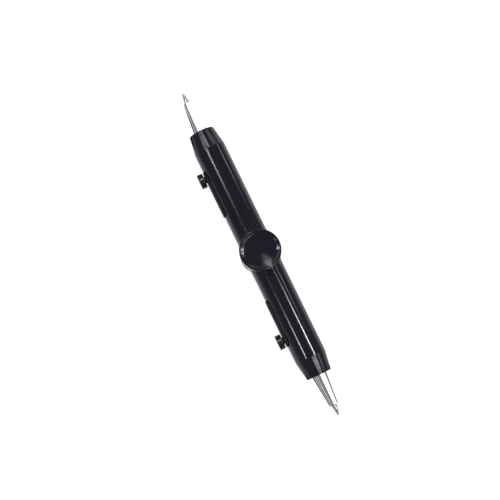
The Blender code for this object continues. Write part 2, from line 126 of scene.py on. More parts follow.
TUBE_START, TUBE_END = (corner.x for corner in side_box("refill_tube_right"))
TUBE_R = side_box("refill_tube_right")[1].z
POINT_START = side_box("refill_point_right")[0].x
POINT_R = side_box("refill_point_right")[1].z
TIP_END = side_box("writing_ball_right")[1].x
WRITING_BALL_R = 0.38 * MM

ROUND = 128  # facets round a large piece
ARC_STEPS = 6
FIT = 0.03 * MM  # clearance round the pieces that are let in
HOLD = 0.06 * MM  # a ring this far from each rounded edge keeps the flats' shading flat


# ---------------------------------------------------------------- mesh tools

def rounded(corners):
    """The closed outline through (radius, height, rounding) corners, with an arc at each."""
    points = []
    for i, (radius, height, rounding) in enumerate(corners):
        here = Vector((radius, height))
        before = Vector(corners[i - 1][:2]) - here
        after = Vector(corners[(i + 1) % len(corners)][:2]) - here
        room = 0.45 * min(before.length, after.length)
        before.normalize()
        after.normalize()
        half = before.angle(after) / 2
        if rounding == 0 or half > math.radians(89):
            points.append(here)
            continue
        reach = min(rounding / math.tan(half), room)
        bend = reach * math.tan(half)
        centre = here + (before + after).normalized() * (bend / math.sin(half))
        start = here + before * reach - centre
        end = here + after * reach - centre
        first = math.atan2(start.y, start.x)
        turn = (math.atan2(end.y, end.x) - first + math.pi) % math.tau - math.pi
        points.append(here + before * min(reach + HOLD, room * 1.05))
        for step in range(ARC_STEPS + 1):
            angle = first + turn * step / ARC_STEPS
            points.append(centre + Vector((math.cos(angle), math.sin(angle))) * bend)
        points.append(here + after * min(reach + HOLD, room * 1.05))
    return points


def along(start, end, steps):
    """Evenly spaced heights between two, without the first."""
    return [start + (end - start) * i / steps for i in range(1, steps + 1)]


def finish_mesh(bm, name):
    bmesh.ops.remove_doubles(bm, verts=bm.verts, dist=1e-8)
    bmesh.ops.recalc_face_normals(bm, faces=bm.faces)
    mesh = bpy.data.meshes.new(name)
    bm.to_mesh(mesh)
    bm.free()
    mesh.shade_smooth()
    return mesh


def turned(name, outline, segments=ROUND):
    """Turns a closed outline of (radius, height) about Z. Points on the axis become one point."""
    bm = bmesh.new()
    rings = []
    for radius, height in outline:
        if radius < 1e-9:
            rings.append([bm.verts.new((0, 0, height))])
            continue
        ring = []
        for i in range(segments):
            angle = math.tau * i / segments
            ring.append(bm.verts.new((radius * math.cos(angle), radius * math.sin(angle), height)))
        rings.append(ring)
    for near, far in zip(rings, rings[1:] + rings[:1]):
        if len(near) == 1 and len(far) == 1:
            continue
        for i in range(segments):
            j = (i + 1) % segments
            face = [near[i % len(near)], near[j % len(near)], far[j % len(far)], far[i % len(far)]]
            bm.faces.new(list(dict.fromkeys(face)))
    return finish_mesh(bm, name)


def skinned(name, rings):
    """Joins rings with the same number of points, in order, and closes both ends."""
    bm = bmesh.new()
    rows = [[bm.verts.new(point) for point in ring] for ring in rings]
    count = len(rows[0])
    for near, far in zip(rows, rows[1:]):
        for i in range(count):
            j = (i + 1) % count
            bm.faces.new((near[i], near[j], far[j], far[i]))
    bm.faces.new(rows[0])
    bm.faces.new(rows[-1])
    return finish_mesh(bm, name)


def bar_rings(half_width, start, end, corner, levels, steps=10):
    """Rings of a bar along Z that stands out towards -Y: levels are (depth, inset) pairs."""
    side = half_width - corner
    centres = [(side, end - corner), (-side, end - corner), (-side, start + corner), (side, start + corner)]
    rings = []
    for depth, inset in levels:
        ring = []
        for quarter, (x, z) in enumerate(centres):
            for step in range(steps + 1):
                angle = math.radians(90 * (quarter + step / steps))
                reach = corner - inset
                ring.append((x + reach * math.cos(angle), -depth, z + reach * math.sin(angle)))
        rings.append(ring)
    return rings


def edge_levels(depth, rounding, outward, steps=4):
    """(depth, inset) pairs round an edge at that depth; outward flares a cutter instead."""
    levels = []
    for step in range(steps + 1):
        angle = math.radians(90 * step / steps)
        lift, draw = rounding * (1 - math.sin(angle)), rounding * (1 - math.cos(angle))
        levels.append((depth - lift, -draw if outward else draw))
    return levels


def carved(target, *cutters):
    """Cuts each cutter mesh out of the target mesh and returns the new mesh."""
    block = bpy.data.objects.new("block", target)
    bpy.context.scene.collection.objects.link(block)
    tools = []
    for mesh in cutters:
        tool = bpy.data.objects.new("tool", mesh)
        bpy.context.scene.collection.objects.link(tool)
        step = block.modifiers.new("cut", "BOOLEAN")
        step.operation = "DIFFERENCE"
        step.solver = "EXACT"
        step.object = tool
        tools.append(tool)
    view_layer = bpy.context.evaluated_depsgraph_get()
    made = bpy.data.meshes.new_from_object(block.evaluated_get(view_layer))
    made.name = target.name + "_carved"
    for spare in [block, *tools]:
        bpy.data.objects.remove(spare)
    made.shade_smooth()
    return made


def moved(mesh, matrix):
    mesh.transform(matrix)
    return mesh


# ---------------------------------------------------------------- placing the pieces

HUB_CENTRE = Matrix.Translation((0, 0, AXIS_Z))
FLIPPED = HUB_CENTRE @ Matrix.Rotation(math.pi, 4, "X")
OUTWARD = {
    "right": HUB_CENTRE @ Matrix.Rotation(math.pi / 2, 4, "Y"),
    "left": HUB_CENTRE @ Matrix.Rotation(-math.pi / 2, 4, "Y"),
}
KNOB_STAND = Matrix.Translation((0, 0, KNOB_X)) @ Matrix.Rotation(math.pi / 2, 4, "X")


def piece(node, mesh, matrix, body, look):
    """A fine piece that stands for one node of the frame."""
    made = bpy.data.objects.new(node + "_fine", mesh)
    bpy.context.scene.collection.objects.link(made)
    made.matrix_world = matrix
    if not mesh.materials:
        mesh.materials.append(look)
    shade = made.modifiers.new("even_shading", "WEIGHTED_NORMAL")
    shade.keep_sharp = True
    bpy.context.view_layer.update()
    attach(made, body)
    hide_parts(node)
    return made


# ---------------------------------------------------------------- materials

class Finish:
    """A Principled material and short ways to wire its procedural detail."""

    def __init__(self, name):
        self.material = bpy.data.materials.new(name)
        self.material.use_nodes = True
        self.tree = self.material.node_tree
        self.shader = self.tree.nodes["Principled BSDF"]
        self.place = self.node("ShaderNodeTexCoord").outputs["Object"]

    def node(self, kind):
        return self.tree.nodes.new(kind)

    def link(self, out, into):
        self.tree.links.new(out, into)

    def set(self, **values):
        for name, value in values.items():
            self.shader.inputs[name.replace("_", " ")].default_value = value
        return self

    def noise(self, size_mm, detail=3.0, stretch=(1, 1, 1)):
        """Noise with features about that many millimetres across, stretched along each axis."""
        scale = self.node("ShaderNodeMapping")
        scale.inputs["Scale"].default_value = [1 / (size_mm * MM * s) for s in stretch]
        self.link(self.place, scale.inputs["Vector"])
        made = self.node("ShaderNodeTexNoise")
        made.inputs["Scale"].default_value = 1.0
        made.inputs["Detail"].default_value = detail
        self.link(scale.outputs["Vector"], made.inputs["Vector"])
        return made.outputs["Fac"]

    def rings(self, spacing_mm, axis="Z", distort=0.6):
        """Fine turning lines round an axis, that many millimetres apart."""
        scale = self.node("ShaderNodeMapping")
        scale.inputs["Scale"].default_value = [1 / (spacing_mm * MM)] * 3
        self.link(self.place, scale.inputs["Vector"])
        made = self.node("ShaderNodeTexWave")
        made.bands_direction = axis
        made.inputs["Scale"].default_value = 0.314
        made.inputs["Distortion"].default_value = distort
        made.inputs["Detail"].default_value = 2.0
        self.link(scale.outputs["Vector"], made.inputs["Vector"])
        return made.outputs["Fac"]

    def spread(self, value, low, high, start=0.35, end=0.65):
        """The value mapped to run from low to high."""
        made = self.node("ShaderNodeMapRange")
        made.inputs["From Min"].default_value = start
        made.inputs["From Max"].default_value = end
        made.inputs["To Min"].default_value = low
        made.inputs["To Max"].default_value = high
        self.link(value, made.inputs["Value"])
        return made.outputs["Result"]

    def blend(self, value, dark, light, start=0.35, end=0.65):
        """A colour that goes from dark to light as the value rises."""
        made = self.node("ShaderNodeValToRGB")
        low, high = made.color_ramp.elements
        low.position, low.color = start, (*dark, 1)
        high.position, high.color = end, (*light, 1)
        self.link(value, made.inputs["Fac"])
        return made.outputs["Color"]

    def worn(self, colour, edge_colour, amount):
        """Mixes an edge colour in where the surface turns sharply outwards."""
        edge = self.spread(self.node("ShaderNodeNewGeometry").outputs["Pointiness"], 0, amount, 0.54, 0.62)
        mix = self.node("ShaderNodeMix")
        mix.data_type = "RGBA"
        self.link(edge, mix.inputs["Factor"])
        self.link(colour, mix.inputs["A"])
        mix.inputs["B"].default_value = (*edge_colour, 1)
        return mix.outputs["Result"]

    def colour(self, out):
        self.link(out, self.shader.inputs["Base Color"])

    def roughness(self, out):
        self.link(out, self.shader.inputs["Roughness"])

    def bumps(self, *layers):
        """Each layer is (height, depth in millimetres); they are stacked in order."""
        below = None
        for height, depth_mm in layers:
            bump = self.node("ShaderNodeBump")
            bump.inputs["Strength"].default_value = 1.0
            bump.inputs["Distance"].default_value = depth_mm * MM
            self.link(height, bump.inputs["Height"])
            if below is not None:
                self.link(below, bump.inputs["Normal"])
            below = bump.outputs["Normal"]
        self.link(below, self.shader.inputs["Normal"])
        return self.material


def black_lacquer():
    """Gloss black with a faint blue cast, orange peel, hairline scratches and thin wear at edges."""
    made = Finish("black_lacquer")
    made.set(IOR=1.5, Metallic=0.0)
    cloud = made.noise(4.0, 2.0)
    base = made.blend(cloud, (0.0025, 0.0025, 0.0095), (0.004, 0.004, 0.0125))
    made.colour(made.worn(base, (0.03, 0.03, 0.034), 0.35))
    made.roughness(made.spread(made.noise(1.6, 4.0), 0.07, 0.13))
    peel = made.noise(0.9, 1.0)
    scratches = made.noise(0.05, 1.0, (1, 1, 40))
    return made.bumps((peel, 0.0009), (scratches, 0.00012))


def chrome():
    """Polished chrome plate with faint turning lines under it."""
    made = Finish("chrome")
    made.set(Metallic=1.0, IOR=2.5)
    made.colour(made.blend(made.noise(2.0), (0.74, 0.74, 0.76), (0.82, 0.82, 0.83)))
    made.roughness(made.spread(made.noise(0.8, 4.0), 0.07, 0.14))
    return made.bumps((made.rings(0.09), 0.0003), (made.noise(0.04, 1.0, (1, 1, 30)), 0.00015))


def turned_metal(name, dark, light, rough, spacing, depth):
    """Bare turned or ground metal: fine rings, clouded colour and uneven gloss."""
    made = Finish(name)
    made.set(Metallic=1.0)
    made.colour(made.blend(made.noise(0.7), dark, light))
    made.roughness(made.spread(made.noise(0.3, 4.0), *rough))
    return made.bumps((made.rings(spacing), depth), (made.noise(0.08), 0.0004))


def moulded(name, dark, light, rough, grain_mm, depth):
    """Moulded plastic or rubber: fine grain, slightly uneven colour and gloss."""
    made = Finish(name)
    made.colour(made.blend(made.noise(1.5), dark, light))
    made.roughness(made.spread(made.noise(0.6, 4.0), *rough))
    made.set(Specular_IOR_Level=0.2)
    return made.bumps((made.noise(grain_mm, 2.0), depth))


LACQUER = black_lacquer()
CHROME = chrome()
STEEL = turned_metal("bearing_steel", (0.5, 0.51, 0.53), (0.62, 0.63, 0.64), (0.14, 0.26), 0.05, 0.0003)
SPRING = turned_metal("spring_steel", (0.07, 0.07, 0.08), (0.14, 0.14, 0.15), (0.3, 0.45), 0.2, 0.0004)
BRASS = turned_metal("refill_brass", (0.6, 0.43, 0.18), (0.76, 0.58, 0.3), (0.22, 0.36), 0.15, 0.0003)
NICKEL = turned_metal("nickel_silver", (0.5, 0.48, 0.44), (0.66, 0.63, 0.57), (0.16, 0.28), 0.06, 0.0004)
NYLON = moulded("cage_polymer", (0.52, 0.46, 0.33), (0.64, 0.58, 0.44), (0.45, 0.6), 0.06, 0.002)
ACETAL = moulded("black_acetal", (0.004, 0.004, 0.005), (0.008, 0.008, 0.009), (0.36, 0.5), 0.05, 0.002)
RUBBER = moulded("black_rubber", (0.012, 0.012, 0.012), (0.024, 0.024, 0.024), (0.6, 0.8), 0.08, 0.004)


# ---------------------------------------------------------------- finger caps

def dish_height(radius, cap_r=CAP_R):
    """The dish's height above its floor: a soft-nosed cone that turns up steeply at the rim."""
    share, nose = radius / (cap_r - CAP_RIM), 0.2
    cone = (math.hypot(share, nose) - nose) / (math.hypot(1, nose) - nose)
    return DISH_DEPTH * (0.6 * cone + 0.4 * share**12)


def cap_mesh(name, cap_r):
    """A cap with its dish up: the rim's outline, the boss and drilled spigot below, then the bowl."""
    floor, dish_r = CAP_FACE - DISH_DEPTH, cap_r - CAP_RIM
    drill_r, drill_end, drill_tip = 1.55 * MM, 5.4 * MM, 6.1 * MM
    spigot_end = 0.1 * MM
    bowl = [Vector((r, floor + dish_height(r, cap_r))) for r in along(0, dish_r, 40)]
    rim = [
        (dish_r, CAP_FACE, 0),
        (cap_r, CAP_FACE, 0.34 * MM),
        (cap_r, CAP_UNDER, 0.3 * MM),
        (CAP_BOSS_R, CAP_UNDER, 0.35 * MM),
        (CAP_BOSS_R, CAP_STOP, 0.1 * MM),
        (CAP_SPIGOT_R, CAP_STOP, 0.05 * MM),
        (CAP_SPIGOT_R, spigot_end, 0.15 * MM),
        (drill_r, spigot_end, 0.1 * MM),
        (drill_r, drill_end, 0.05 * MM),
        (0.0, drill_tip, 0),
        (0.0, floor, 0),
    ]
    return turned(name, rounded(rim)[:-1] + [Vector((0, floor))] + bowl[:-1])


def build_spindle():
    upper, lower = cap_mesh("finger_cap_upper", CAP_R), cap_mesh("finger_cap_lower", LOWER_CAP_R)
    piece("finger_cap_upper", upper, HUB_CENTRE, "spindle", LACQUER)
    piece("finger_cap_lower", lower, FLIPPED, "spindle", LACQUER)
    stud_r, stud_half = 1.45 * MM, 5.0 * MM
    chamfer = 0.3 * MM
    stud = [
        (0, -stud_half, 0),
        (stud_r, -stud_half, chamfer),
        (stud_r, stud_half, chamfer),
        (0, stud_half, 0),
    ]
    mesh = turned("cap_stud", rounded(stud), 48)
    piece("cap_stud", mesh, HUB_CENTRE, "spindle", STEEL)


# ---------------------------------------------------------------- bearing

def race_arc(middle, half_spread, steps=12):
    """The races' groove: points on a circle round the balls' centres."""
    made = []
    for step in range(steps + 1):
        angle = math.radians(middle + half_spread - 2 * half_spread * step / steps)
        made.append(Vector((PITCH_R + RACE_R * math.cos(angle), RACE_R * math.sin(angle))))
    return made


def build_bearing():
    land_r, shield_r, rebate = 5.35 * MM, 5.8 * MM, 0.5 * MM
    edge = 0.2 * MM
    outer = rounded([
        (land_r, -BEARING_HALF + rebate, 0.03 * MM),
        (shield_r, -BEARING_HALF + rebate, 0),
        (shield_r, -BEARING_HALF, 0.05 * MM),
        (BEARING_R, -BEARING_HALF, edge),
        (BEARING_R, BEARING_HALF, edge),
        (shield_r, BEARING_HALF, 0.05 * MM),
        (shield_r, BEARING_HALF - rebate, 0),
        (land_r, BEARING_HALF - rebate, 0.03 * MM),
    ])
    spread = math.degrees(math.acos((land_r - PITCH_R) / RACE_R))
    ring = turned("bearing_outer_ring", outer + race_arc(0, spread), 96)
    piece("bearing_outer_ring", ring, HUB_CENTRE, "body", STEEL)

    inner_land_r = 4.1 * MM
    inner = rounded([
        (inner_land_r, BEARING_HALF, 0.08 * MM),
        (BEARING_BORE_R, BEARING_HALF, edge),
        (BEARING_BORE_R, -BEARING_HALF, edge),
        (inner_land_r, -BEARING_HALF, 0.08 * MM),
    ])
    spread = math.degrees(math.acos((PITCH_R - inner_land_r) / RACE_R))
    ring = turned("bearing_inner_ring", inner + race_arc(180, -spread)[::-1], 96)
    piece("bearing_inner_ring", ring, HUB_CENTRE, "spindle", STEEL)

    shield_in, shield_out, thick, dish = 4.3 * MM, 5.7 * MM, 0.2 * MM, 0.08 * MM
    shield = rounded([
        (shield_in, dish, 0.04 * MM),
        (shield_in + 0.5 * MM, 0, 0.2 * MM),
        (shield_out, 0, 0.05 * MM),
        (shield_out, thick, 0.05 * MM),
        (shield_in + 0.5 * MM, thick, 0.2 * MM),
        (shield_in, thick + dish, 0.04 * MM),
    ])
    mesh = turned("bearing_shield", shield, 96)
    face = Matrix.Translation((0, 0, BEARING_HALF - 0.42 * MM))
    piece("bearing_shield_upper", mesh, HUB_CENTRE @ face, "body", STEEL)
    piece("bearing_shield_lower", mesh, FLIPPED @ face, "body", STEEL)

    build_cage()
    build_circlip()


def build_cage():
    """The cage, bored across for each ball, and its balls."""
    inner_r, outer_r, low, high = 4.4 * MM, 5.1 * MM, -1.25 * MM, 0.4 * MM
    edge, pocket_r, reach = 0.06 * MM, 0.85 * MM, 1 * MM
    blank = rounded([
        (inner_r, low, edge),
        (outer_r, low, edge),
        (outer_r, high, edge),
        (inner_r, high, edge),
    ])
    pocket = rounded([(0, -reach, 0), (pocket_r, -reach, 0), (pocket_r, reach, 0), (0, reach, 0)])
    pockets = []
    for i in range(BALL_COUNT):
        turn = Matrix.Rotation(math.tau * i / BALL_COUNT, 4, "Z")
        lay = Matrix.Translation((PITCH_R, 0, 0)) @ Matrix.Rotation(math.pi / 2, 4, "Y")
        pockets.append(moved(turned("pocket", pocket, 32), turn @ lay))
    cage = carved(turned("bearing_cage", blank, 120), *pockets)
    piece("bearing_cage", cage, HUB_CENTRE, "ball_cage", NYLON)
    bm = bmesh.new()
    bmesh.ops.create_icosphere(bm, subdivisions=4, radius=BALL_R)
    ball = finish_mesh(bm, "bearing_ball")
    for i in range(BALL_COUNT):
        turn = Matrix.Rotation(math.tau * i / BALL_COUNT, 4, "Z") @ Matrix.Translation((PITCH_R, 0, 0))
        node = f"bearing_ball_{i + 1:02d}"
        piece(node, ball, HUB_CENTRE @ turn, "ball_cage", STEEL)


def build_circlip():
    """The open ring with its two drilled lugs."""
    thick, outer_r, inner_r = 0.7 * MM, 6.6 * MM, 5.75 * MM
    lug_in, hole_r = 4.95 * MM, 0.32 * MM
    gap, lug = math.radians(13), math.radians(16)
    steps = 90
    outer = [gap + (math.tau - 2 * gap) * i / steps for i in range(steps + 1)]
    outline = [(outer_r * math.cos(a), outer_r * math.sin(a)) for a in outer]
    for a in reversed(outer):
        into = min(a - gap, math.tau - gap - a) / lug
        ease = 0.5 + 0.5 * math.cos(math.pi * min(max(into * 2 - 1, 0), 1))
        radius = inner_r - (inner_r - lug_in) * ease
        outline.append((radius * math.cos(a), radius * math.sin(a)))
    rings = []
    edge, drawn_in = 0.04 * MM, 0.995
    middle = (outer_r + inner_r) / 2
    for height, shrink in [(0, drawn_in), (edge, 1), (thick - edge, 1), (thick, drawn_in)]:
        ring = []
        for x, y in outline:
            radius = math.hypot(x, y)
            drawn = middle + (radius - middle) * shrink
            ring.append((x * drawn / radius, y * drawn / radius, height))
        rings.append(ring)
    holes = []
    hole_ring_r, hole_turn = 5.55 * MM, gap + lug * 0.42
    for side in (-1, 1):
        bearing = Vector((math.cos(side * hole_turn), math.sin(side * hole_turn), 0))
        centre = bearing * hole_ring_r
        drill = [(0, -MM), (hole_r, -MM), (hole_r, 2 * MM), (0, 2 * MM)]
        holes.append(moved(turned("drill", [Vector(p) for p in drill], 24), Matrix.Translation(centre)))
    clip = carved(skinned("bearing_circlip", rings), *holes)
    lift = HUB_CENTRE @ Matrix.Translation((0, 0, BEARING_HALF + 0.2 * MM))
    piece("bearing_circlip", clip, lift, "body", SPRING)


# ---------------------------------------------------------------- hub

def hub_half_width(x):
    """Half the hub's width in plan: the boss's circle, its fillet, then the straight neck."""
    reach = abs(x)
    fillet_y = BARREL_R + HUB_FILLET_R
    fillet_x = math.sqrt((HUB_R + HUB_FILLET_R) ** 2 - fillet_y**2)
    meet_x = fillet_x * HUB_R / (HUB_R + HUB_FILLET_R)
    if reach <= meet_x:
        return math.sqrt(HUB_R**2 - reach**2)
    if reach < fillet_x:
        return fillet_y - math.sqrt(HUB_FILLET_R**2 - (fillet_x - reach) ** 2)
    return BARREL_R


def hub_ring(x, shrink=0.0, segments=160):
    """A section across X: a circle on the neck that squares up towards the boss."""
    width = hub_half_width(x)
    swell = (width - BARREL_R) / (HUB_R - BARREL_R)
    power = 2.0 + (HUB_SQUARENESS - 2.0) * swell
    ring = []
    for i in range(segments):
        angle = math.tau * i / segments
        across, up = math.cos(angle), math.sin(angle)
        size = (abs(across) ** power + abs(up) ** power) ** (-1.0 / power)
        ring.append((x, (width - shrink) * across * size, (BARREL_R - shrink) * up * size))
    return ring


def spigot_ring(x, radius, segments=160):
    angles = [math.tau * i / segments for i in range(segments)]
    return [(x, radius * math.cos(a), radius * math.sin(a)) for a in angles]


def build_hub():
    edge, steps = 0.06 * MM, 5
    right = [hub_ring(NECK_END * i / 48) for i in range(49)][:-1]
    for step in range(steps + 1):
        angle = math.radians(90 * step / steps)
        shrink = edge * (1 - math.cos(angle))
        right.append(hub_ring(NECK_END - edge + edge * math.sin(angle), shrink))
    right += [spigot_ring(NECK_END, SPIGOT_R + 0.1 * MM), spigot_ring(NECK_END, SPIGOT_R)]
    right += [spigot_ring(SPIGOT_END - 0.3 * MM, SPIGOT_R), spigot_ring(SPIGOT_END, SPIGOT_R - 0.3 * MM)]
    left = [[(-x, y, z) for x, y, z in ring] for ring in reversed(right[1:])]
    body = skinned("hub_housing", left + right)

    seat_r, lip_r, groove_r = BEARING_R + 0.05 * MM, 5.6 * MM, 6.75 * MM
    low, high, past = -BEARING_HALF - 0.1 * MM, BEARING_HALF + 0.1 * MM, BARREL_R + MM
    flare = 0.25 * MM
    mouth = BARREL_R - flare
    bore = [
        (0, -past),
        (seat_r + 2 * flare, -past),
        (seat_r + flare, -BARREL_R),
        (seat_r, -mouth),
        (seat_r, low - 1.0 * MM),
        (lip_r, low - 1.0 * MM),
        (lip_r, low),
        (seat_r, low),
        (seat_r, high),
        (groove_r, high),
        (groove_r, high + 0.9 * MM),
        (seat_r, high + 0.9 * MM),
        (seat_r, mouth),
        (seat_r + flare, BARREL_R),
        (seat_r + 2 * flare, past),
        (0, past),
    ]
    hub = carved(body, turned("hub_bore", [Vector(point) for point in bore], ROUND))
    piece("hub_housing", hub, HUB_CENTRE, "body", LACQUER)


# ---------------------------------------------------------------- barrels and slides

def barrel_mesh():
    edge = 0.3 * MM
    taper = BARREL_END - TAPER_LENGTH
    profile = rounded([
        (BARREL_BORE_R, BARREL_START, 0.1 * MM),
        (BARREL_R, BARREL_START, 0.06 * MM),
        (BARREL_R, taper, 1.2 * MM),
        (BARREL_TIP_R, BARREL_END, edge),
        (THREAD_R, BARREL_END, 0.12 * MM),
        (THREAD_R, BORE_END, 0),
        (BARREL_BORE_R, BORE_END, 0),
    ])
    fine = []
    for here, after in zip(profile, profile[1:] + profile[:1]):
        steps = max(1, round((after - here).length / (1.2 * MM)))
        fine += [here.lerp(after, i / steps) for i in range(steps)]
    outline = (
        -GUIDE_LOW.z + FIT,
        GUIDE_LOW.x - FIT,
        GUIDE_HIGH.x + FIT,
        GUIDE_CORNER + FIT,
    )
    window = skinned("window", bar_rings(*outline, [(2 * MM, 0), (8 * MM, 0)]))
    return carved(turned("barrel", fine, 180), window)


def guide_mesh():
    """The flat-faced strip with its slot, every edge softly rounded."""
    outline = (-GUIDE_LOW.z, GUIDE_LOW.x, GUIDE_HIGH.x, GUIDE_CORNER)
    inner, face = -GUIDE_HIGH.y, -GUIDE_LOW.y
    bar = skinned("slide_guide", bar_rings(*outline, [(inner, 0)] + edge_levels(face, 0.22 * MM, False)))
    slot = (SLOT_HALF, KNOB_X - TRAVEL - SLOT_HALF, KNOB_X + SLOT_HALF, SLOT_HALF)
    flare = edge_levels(face, 0.16 * MM, True)
    levels = [(2 * MM, 0)] + flare + [(face + MM, flare[-1][1])]
    return carved(bar, skinned("slot", bar_rings(*slot, levels)))


def nose_mesh():
    seat = BARREL_END + FIT
    bore_end = NOSE_END - 3.4 * MM
    profile = rounded([
        (NOSE_BORE_R, NOSE_START, 0.1 * MM),
        (NOSE_SHANK_R, NOSE_START, 0.2 * MM),
        (NOSE_SHANK_R, seat, 0),
        (NOSE_R, seat, 0.12 * MM),
        (NOSE_TIP_R, NOSE_END, 0.28 * MM),
        (NOSE_MOUTH_R, NOSE_END, 0.1 * MM),
        (NOSE_MOUTH_R, bore_end, 0),
        (NOSE_BORE_R, bore_end - 0.3 * MM, 0),
    ])
    return turned("nose_cone", profile, 96)


def carriage_mesh():
    bore_r, collar_r, groove_r = 1.28 * MM, 2.6 * MM, 3.45 * MM
    half_groove, edge = 0.55 * MM, 0.3 * MM
    step = CARRIAGE_HIGH.x - 3.5 * MM
    profile = rounded([
        (bore_r, CARRIAGE_LOW.x, 0.1 * MM),
        (CARRIAGE_R, CARRIAGE_LOW.x, edge),
        (CARRIAGE_R, RING_X - half_groove, 0.08 * MM),
        (groove_r, RING_X - half_groove, 0.1 * MM),
        (groove_r, RING_X + half_groove, 0.1 * MM),
        (CARRIAGE_R, RING_X + half_groove, 0.08 * MM),
        (CARRIAGE_R, step, edge),
        (collar_r, step, 0.2 * MM),
        (collar_r, CARRIAGE_HIGH.x, 0.25 * MM),
        (bore_r, CARRIAGE_HIGH.x, 0.1 * MM),
    ])
    hole_r = STEM_R + 0.06 * MM
    drill = [(0, 0.5 * MM), (hole_r, 0.5 * MM), (hole_r, 6 * MM), (0, 6 * MM)]
    tool = moved(turned("drill", [Vector(point) for point in drill], 40), KNOB_STAND)
    return carved(turned("carriage", profile, 96), tool)


def knob_mesh():
    """The mushroom knob on its stem, with a shallow dimple in its face."""
    waist, dimple_r, dimple = 0.25 * MM, 0.9 * MM, 0.12 * MM
    profile = rounded([
        (0, STEM_FOOT, 0),
        (STEM_R, STEM_FOOT, 0.15 * MM),
        (STEM_R, KNOB_UNDER, waist),
        (KNOB_R, KNOB_UNDER, 0.22 * MM),
        (KNOB_R, KNOB_FACE, 0.4 * MM),
        (dimple_r, KNOB_FACE, 0.3 * MM),
        (dimple_r - 0.2 * MM, KNOB_FACE - dimple, 0.3 * MM),
        (0, KNOB_FACE - dimple - 0.02 * MM, 0),
    ])
    return turned("slide_knob", profile, 96)


def ring_mesh():
    """The friction ring, a round-section rubber ring with its fine mould line."""
    steps = 28
    points = []
    for i in range(steps):
        angle = math.tau * i / steps
        flash = 0.01 * MM if i == 0 else 0
        points.append(Vector((RING_MAJOR + (RING_MINOR - 0.01 * MM + flash) * math.cos(angle),
                              RING_X + RING_MINOR * math.sin(angle))))
    return turned("friction_ring", points, 96)


def tube_mesh():
    inner_r, floor = TUBE_R - 0.25 * MM, TUBE_END - 4.0 * MM
    profile = rounded([
        (0, floor, 0),
        (inner_r, floor, 0),
        (inner_r, TUBE_START, 0.06 * MM),
        (TUBE_R, TUBE_START, 0.06 * MM),
        (TUBE_R, TUBE_END, 0.35 * MM),
        (0, TUBE_END, 0),
    ])
    return turned("refill_tube", profile, 48)


def point_mesh():
    """The turned point: shank, shoulder, cone and the lip rolled over the ball."""
    socket_r = WRITING_BALL_R + 0.02 * MM
    centre = TIP_END - WRITING_BALL_R
    mouth_r, mouth = 0.48 * MM, centre + 0.05 * MM
    cone = mouth - 2.3 * MM
    profile = rounded([
        (0, POINT_START, 0),
        (POINT_R, POINT_START, 0.1 * MM),
        (POINT_R, cone - 0.55 * MM, 0.12 * MM),
        (POINT_R - 0.14 * MM, cone - 0.4 * MM, 0.1 * MM),
        (POINT_R - 0.16 * MM, cone, 0.2 * MM),
        (mouth_r + 0.03 * MM, mouth - 0.3 * MM, 0.15 * MM),
        (mouth_r, mouth, 0.05 * MM),
    ])[:-1]
    for step in range(11):
        angle = math.radians(7 - 97 * step / 10)
        profile.append(Vector((socket_r * math.cos(angle), centre + socket_r * math.sin(angle))))
    profile[-1] = Vector((0, centre - socket_r))
    return turned("refill_point", profile, 64)


def writing_ball_mesh():
    bm = bmesh.new()
    bmesh.ops.create_icosphere(bm, subdivisions=4, radius=WRITING_BALL_R)
    bmesh.ops.translate(bm, verts=bm.verts, vec=(0, 0, TIP_END - WRITING_BALL_R))
    return finish_mesh(bm, "writing_ball")


def build_sides():
    barrel, guide, nose = barrel_mesh(), guide_mesh(), nose_mesh()
    carriage, knob, ring = carriage_mesh(), knob_mesh(), ring_mesh()
    tube, point, ball = tube_mesh(), point_mesh(), writing_ball_mesh()
    for side, turn in OUTWARD.items():
        slide = f"slide_{side}"
        piece(f"barrel_{side}", barrel, turn, "body", LACQUER)
        piece(f"slide_guide_{side}", guide, turn, "body", ACETAL)
        piece(f"nose_cone_{side}", nose, turn, "body", CHROME)
        piece(f"carriage_{side}", carriage, turn, slide, ACETAL)
        piece(f"slide_knob_{side}", knob, turn @ KNOB_STAND, slide, LACQUER)
        piece(f"friction_ring_{side}", ring, turn, slide, RUBBER)
        piece(f"refill_tube_{side}", tube, turn, slide, BRASS)
        piece(f"refill_point_{side}", point, turn, slide, NICKEL)
        piece(f"writing_ball_{side}", ball, turn, slide, STEEL)


# ---------------------------------------------------------------- camera

CAMERA_AIM = Vector((-2.5 * MM, -2.99 * MM, AXIS_Z))
CAMERA_DISTANCE = 0.524
CAMERA_TILT = math.radians(6.15)  # off the vertical
CAMERA_BEARING = math.radians(-34.7)  # the side it stands on
PICTURE_TURN = math.radians(64.3)  # the direction on the table that runs to the picture's right
LENS_MM = 97.3


def camera_frame():
    """The camera's place and its right, up and back directions."""
    flat = Vector((math.cos(CAMERA_BEARING), math.sin(CAMERA_BEARING), 0))
    back = flat * math.sin(CAMERA_TILT) + Vector((0, 0, math.cos(CAMERA_TILT)))
    right = Vector((math.cos(PICTURE_TURN), math.sin(PICTURE_TURN), 0))
    right = (right - back * right.dot(back)).normalized()
    return CAMERA_AIM + back * CAMERA_DISTANCE, right, back.cross(right), back


def build_camera():
    place, right, up, back = camera_frame()
    data = bpy.data.cameras.new("camera")
    data.lens = LENS_MM
    data.sensor_width = 36
    data.clip_start, data.clip_end = 0.01, 20
    camera = bpy.data.objects.new("camera", data)
    bpy.context.scene.collection.objects.link(camera)
    camera.matrix_world = facing(place, right, up, back)
    bpy.context.scene.camera = camera


def facing(place, right, up, back):
    return Matrix.Translation(place) @ Matrix((right, up, back)).transposed().to_4x4()


# ---------------------------------------------------------------- floor and light

